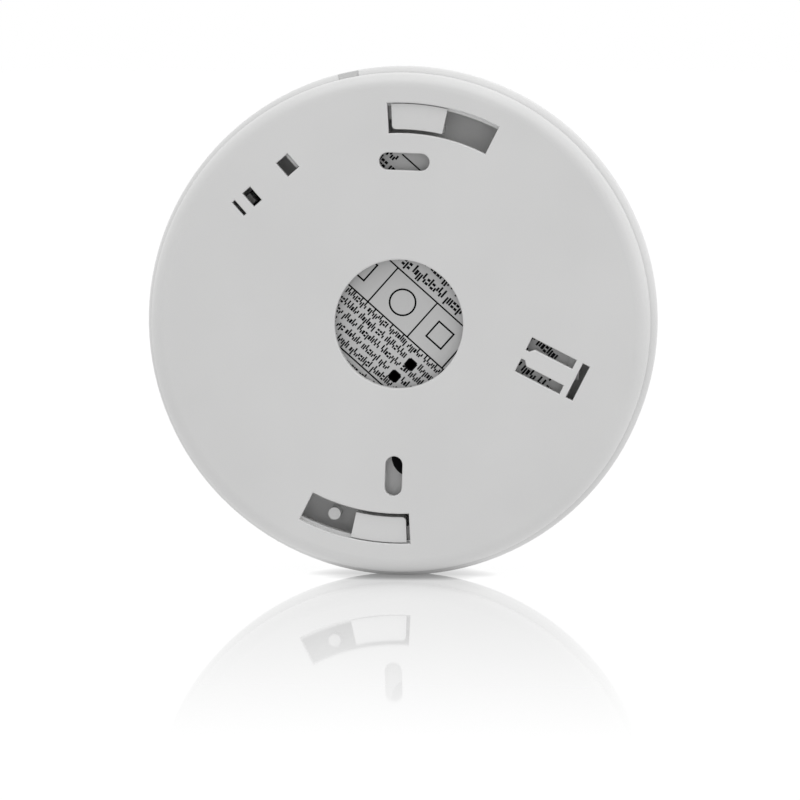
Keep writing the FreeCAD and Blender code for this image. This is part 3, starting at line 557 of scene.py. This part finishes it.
LEG_PITCH = 1.27 * MM
board_low, board_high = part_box("pcb")
tin_solder = plated("tin_solder", (0.78, 0.78, 0.77), (0.55, 0.55, 0.53), 0.2)
bm = bmesh.new()
for chip, pins in (("microcontroller", 7), ("horn_driver_chip", 4)):
    low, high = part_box(chip)
    for side in (low.x, high.x):
        for number in range(pins):
            height = (low.z + high.z) / 2 + (number - (pins - 1) / 2) * LEG_PITCH
            spot = Matrix.Translation((side, board_high.y, height))
            dome = spot @ Matrix.Diagonal((0.5, 0.45, 0.32, 1))
            bmesh.ops.create_uvsphere(bm, u_segments=12, v_segments=8, radius=MM, matrix=dome)
for part in ("capacitors", "inductor_core", "battery_tabs", "test_switch", "status_led"):
    low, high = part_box(part)
    for along in (0.06, 0.94):
        spot = (low.x + (high.x - low.x) * along, board_low.y, low.z + (high.z - low.z) * along)
        dome = Matrix.Translation(spot) @ Matrix.Diagonal((0.95, 0.7, 0.95, 1))
        bmesh.ops.create_uvsphere(bm, u_segments=16, v_segments=10, radius=MM, matrix=dome)
for face in bm.faces:
    face.smooth = True
new_piece("solder_joints", bm, tin_solder)

# ---------------------------------------------------------------------------------------------
# Smoke chamber. A black nylon floor and a baffled lid clip together over the board, in a sleeve of
# etched steel screen that keeps insects out. The emitter and the receiver look into it.
# ---------------------------------------------------------------------------------------------
dress(moulded("black_nylon", (0.014, 0.014, 0.015), 0.55, 0.03), "chamber_base", "chamber_lid")

SCREEN_ROUND = 180
SCREEN_ROWS = 17
SCREEN_WIRE = 0.13 * MM
SCREEN_SHEET = 0.2 * MM
low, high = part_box("insect_screen")
middle = (low + high) / 2
bm = bmesh.new()
start = bm.verts.new((middle.x + (high.x - low.x) / 2 - SCREEN_SHEET, low.y, middle.z))
geom = [start]
for _ in range(SCREEN_ROWS):
    pushed = bmesh.ops.extrude_vert_indiv(bm, verts=[start])
    start = pushed["verts"][0]
    start.co.y += (high.y - low.y) / SCREEN_ROWS
    geom += pushed["verts"] + pushed["edges"]
bmesh.ops.spin(bm, geom=geom, cent=middle, axis=(0, 1, 0), dvec=(0, 0, 0), angle=2 * math.pi,
               steps=SCREEN_ROUND, use_merge=True)
bmesh.ops.remove_doubles(bm, verts=bm.verts, dist=0.001 * MM)
bmesh.ops.recalc_face_normals(bm, faces=bm.faces)
holes = bmesh.ops.inset_individual(bm, faces=list(bm.faces), thickness=SCREEN_WIRE, use_even_offset=True)
middles = [face for face in bm.faces if face not in set(holes["faces"])]
bmesh.ops.delete(bm, geom=middles, context="FACES")
screen_steel = plated("screen_steel", (0.55, 0.55, 0.56), (0.35, 0.34, 0.33), 0.35)
screen = new_piece("etched_screen", bm, screen_steel)
skin = screen.modifiers.new("sheet", "SOLIDIFY")
skin.thickness = SCREEN_SHEET
skin.offset = 0
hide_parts("insect_screen")


def glassy(name, colour, gloss, clearness):
    """A clear or tinted casting resin with faint flow marks and fine scratches."""
    made, tree, shader = finish(name)
    shader.inputs["Transmission Weight"].default_value = clearness
    shader.inputs["IOR"].default_value = 1.54
    where = tree.nodes.new("ShaderNodeTexCoord").outputs["Object"]
    streaks = noise(tree, where, 700, 3)
    pale = tuple(min(1.0, part * 1.12) for part in colour)
    tree.links.new(mix_colour(tree, streaks, colour, pale), shader.inputs["Base Color"])
    scuffs = noise(tree, where, 2600, 5, 0.7)
    tree.links.new(stretch(tree, scuffs, 0.5, 0.8, gloss, gloss + 0.12), shader.inputs["Roughness"])
    relief(tree, shader, streaks, 0.15, 0.02)
    return made


dress(glassy("clear_epoxy", (0.78, 0.82, 0.9), 0.06, 0.9), "infrared_led")
dress(glassy("smoked_epoxy", (0.02, 0.012, 0.02), 0.08, 0.35), "photodiode")

# ---------------------------------------------------------------------------------------------
# Sounder. A grey plastic horn stands on a brass disc with a fired ceramic wafer on it. Three
# plated springs press on the disc and carry its current.
# ---------------------------------------------------------------------------------------------
dress(moulded("grey_acetal", (0.48, 0.49, 0.5), 0.42), "sounder_horn")
dress(plated("brass", (0.78, 0.56, 0.22), (0.45, 0.28, 0.1), 0.24), "piezo_disc")
dress(moulded("fired_ceramic", (0.72, 0.68, 0.58), 0.62, 0.03), "piezo_ceramic")
nickel = plated("nickel_wire", (0.66, 0.62, 0.56), (0.4, 0.37, 0.33), 0.22)
dress(nickel, "piezo_springs", "battery_tabs")

# ---------------------------------------------------------------------------------------------
# Lithium cell. A steel can in a shrunk plastic sleeve, dark with a pale band round one end, and
# bare steel at both ends. Nickel tabs are welded on, and a nylon clamp holds it down.
# ---------------------------------------------------------------------------------------------
SLEEVE_DARK = (0.015, 0.035, 0.09)
SLEEVE_PALE = (0.55, 0.56, 0.56)
CELL_STEEL = (0.62, 0.62, 0.6)
SLEEVE_LAP = 1.2 * MM
BAND_HEIGHT = 24 * MM
low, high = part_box("battery")
cell_sleeve, tree, shader = finish("cell_sleeve")
where = tree.nodes.new("ShaderNodeTexCoord").outputs["Object"]
apart = tree.nodes.new("ShaderNodeSeparateXYZ")
tree.links.new(where, apart.inputs[0])
wrinkle = noise(tree, where, 300, 4, 0.6)
edge = sums(tree, "ADD", apart.outputs["Z"], stretch(tree, wrinkle, 0.3, 0.7, -0.0002, 0.0002))
top_end = stretch(tree, edge, high.z - SLEEVE_LAP - 0.01 * MM, high.z - SLEEVE_LAP, 0, 1)
low_end = stretch(tree, edge, low.z + 0.1 * MM, low.z + 0.11 * MM, 1, 0)
band_edge = low.z + BAND_HEIGHT
band = stretch(tree, apart.outputs["Z"], band_edge, band_edge + 0.02 * MM, 0, 1)
bare = sums(tree, "MAXIMUM", top_end, low_end)
sleeve = mix_colour(tree, band, SLEEVE_DARK, SLEEVE_PALE)
tree.links.new(mix_colour(tree, bare, sleeve, CELL_STEEL), shader.inputs["Base Color"])
tree.links.new(bare, shader.inputs["Metallic"])
tree.links.new(stretch(tree, wrinkle, 0.3, 0.7, 0.2, 0.36), shader.inputs["Roughness"])
relief(tree, shader, wrinkle, 0.3, 0.05)
dress(cell_sleeve, "battery")
dress(moulded("clamp_nylon", (0.05, 0.05, 0.052), 0.5), "battery_clamp")

# ---------------------------------------------------------------------------------------------
# Board parts. Black moulded chips on tinned legs, foil capacitors in aluminium cans, chip parts
# with tinned ends, and a ferrite spool wound with enamelled copper wire.
# ---------------------------------------------------------------------------------------------
TINNED_HEIGHT = 0.21 * MM
END_CAP_HEIGHT = 0.06 * MM
SPLIT_BLUR = 0.005 * MM


def two_tone(name, split, body, other, gloss, metal_above):
    """A part whose finish changes at one height over the board: legs and body, or can and cap."""
    made, tree, shader = finish(name)
    where = tree.nodes.new("ShaderNodeTexCoord").outputs["Object"]
    apart = tree.nodes.new("ShaderNodeSeparateXYZ")
    tree.links.new(where, apart.inputs[0])
    above = stretch(tree, apart.outputs["Y"], split - SPLIT_BLUR, split + SPLIT_BLUR, 0, 1)
    bare = above if metal_above else sums(tree, "SUBTRACT", 1.0, above)
    grain = noise(tree, where, 2400, 4, 0.65)
    toned = mix_colour(tree, grain, body, tuple(part * 1.35 for part in body))
    tree.links.new(mix_colour(tree, bare, toned, other), shader.inputs["Base Color"])
    tree.links.new(bare, shader.inputs["Metallic"])
    rough = stretch(tree, grain, 0.3, 0.7, gloss - 0.06, gloss + 0.08)
    tree.links.new(rough, shader.inputs["Roughness"])
    relief(tree, shader, grain, 0.3, 0.02)
    return made


leg_top = board_high.y + TINNED_HEIGHT
chip_black = two_tone("chip_black", leg_top, (0.02, 0.02, 0.021), TIN, 0.5, False)
dress(chip_black, "microcontroller", "horn_driver_chip", "test_switch")
can_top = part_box("capacitors")[1].y - 0.03 * MM
dress(two_tone("can_sleeve", can_top, (0.02, 0.022, 0.03), TIN, 0.34, True), "capacitors")
cap_top = board_high.y + END_CAP_HEIGHT
dress(two_tone("resistor_black", cap_top, (0.022, 0.022, 0.024), TIN, 0.42, False), "chip_resistors")
dress(two_tone("capacitor_tan", cap_top, (0.34, 0.25, 0.16), TIN, 0.5, False), "chip_capacitors")
dress(moulded("ferrite", (0.045, 0.043, 0.042), 0.7, 0.05), "inductor_core")


def coil(low, high, wire, radius, sides, runs):
    """Round wire wound up through a box, in runs of an angle, a climb and a number of steps."""
    bm = bmesh.new()
    middle = (low + high) / 2
    spot = Matrix.Translation((high.x - wire / 2, low.y + wire / 2, middle.z))
    end = bmesh.ops.create_circle(bm, segments=sides, radius=radius, matrix=spot)["verts"]
    geom = end + list({edge for vert in end for edge in vert.link_edges})
    for angle, climb, steps in runs:
        turned = bmesh.ops.spin(bm, geom=geom, cent=(middle.x, low.y, middle.z), axis=(0, 1, 0),
                                dvec=(0, climb / steps, 0), angle=angle, steps=steps)
        geom = turned["geom_last"]
    bmesh.ops.remove_doubles(bm, verts=bm.verts, dist=0.0005 * MM)
    bmesh.ops.holes_fill(bm, edges=[edge for edge in bm.edges if edge.is_boundary], sides=sides)
    bmesh.ops.recalc_face_normals(bm, faces=bm.faces)
    for face in bm.faces:
        face.smooth = True
    return bm


WIRE = 0.4 * MM
ENAMEL = 0.005 * MM
STEPS_ROUND = 36
low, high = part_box("inductor_winding")
turns = int((high.y - low.y) / WIRE) - 1
runs = [(2 * math.pi * turns, WIRE * turns, STEPS_ROUND * turns)]
bm = coil(low, high, WIRE, WIRE / 2 - ENAMEL, 8, runs)
enamel = plated("copper_enamel", (0.72, 0.26, 0.09), (0.42, 0.12, 0.04), 0.2)
winding = new_piece("copper_turns", bm, enamel)
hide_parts("inductor_winding")

# ---------------------------------------------------------------------------------------------
# Switches, lamp and button return. The slide switch and the plunger are acetal, the lamp is red
# resin under a clear light pipe, and the button sits on a steel coil spring.
# ---------------------------------------------------------------------------------------------
dress(moulded("switch_case", (0.02, 0.02, 0.022), 0.45), "slide_switch")
dress(moulded("slider_acetal", (0.6, 0.6, 0.6), 0.36), "power_slider")
dress(moulded("plunger_red", (0.55, 0.03, 0.025), 0.38), "switch_plunger")
dress(glassy("lamp_resin", (0.75, 0.03, 0.03), 0.1, 0.5), "status_led")
dress(glassy("pipe_clear", (0.9, 0.92, 0.93), 0.05, 0.95), "light_pipe")

SPRING_WIRE = 0.5 * MM
SPRING_TURNS = 4
DEAD_TURN = math.radians(335)
SPRING_STEP = math.radians(7.5)
low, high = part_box("button_spring")
middle = (low + high) / 2
rise = high.y - low.y - SPRING_WIRE
runs = []
for angle, climb in ((DEAD_TURN, 0), (2 * math.pi * SPRING_TURNS, rise), (DEAD_TURN, 0)):
    runs.append((angle, climb, int(angle / SPRING_STEP)))
bm = coil(low, high, SPRING_WIRE, SPRING_WIRE / 2, 16, runs)
spring_steel = plated("spring_steel", (0.56, 0.56, 0.57), (0.34, 0.33, 0.32), 0.26)
return_spring = new_piece("return_spring", bm, spring_steel)
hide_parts("button_spring")
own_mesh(return_spring)
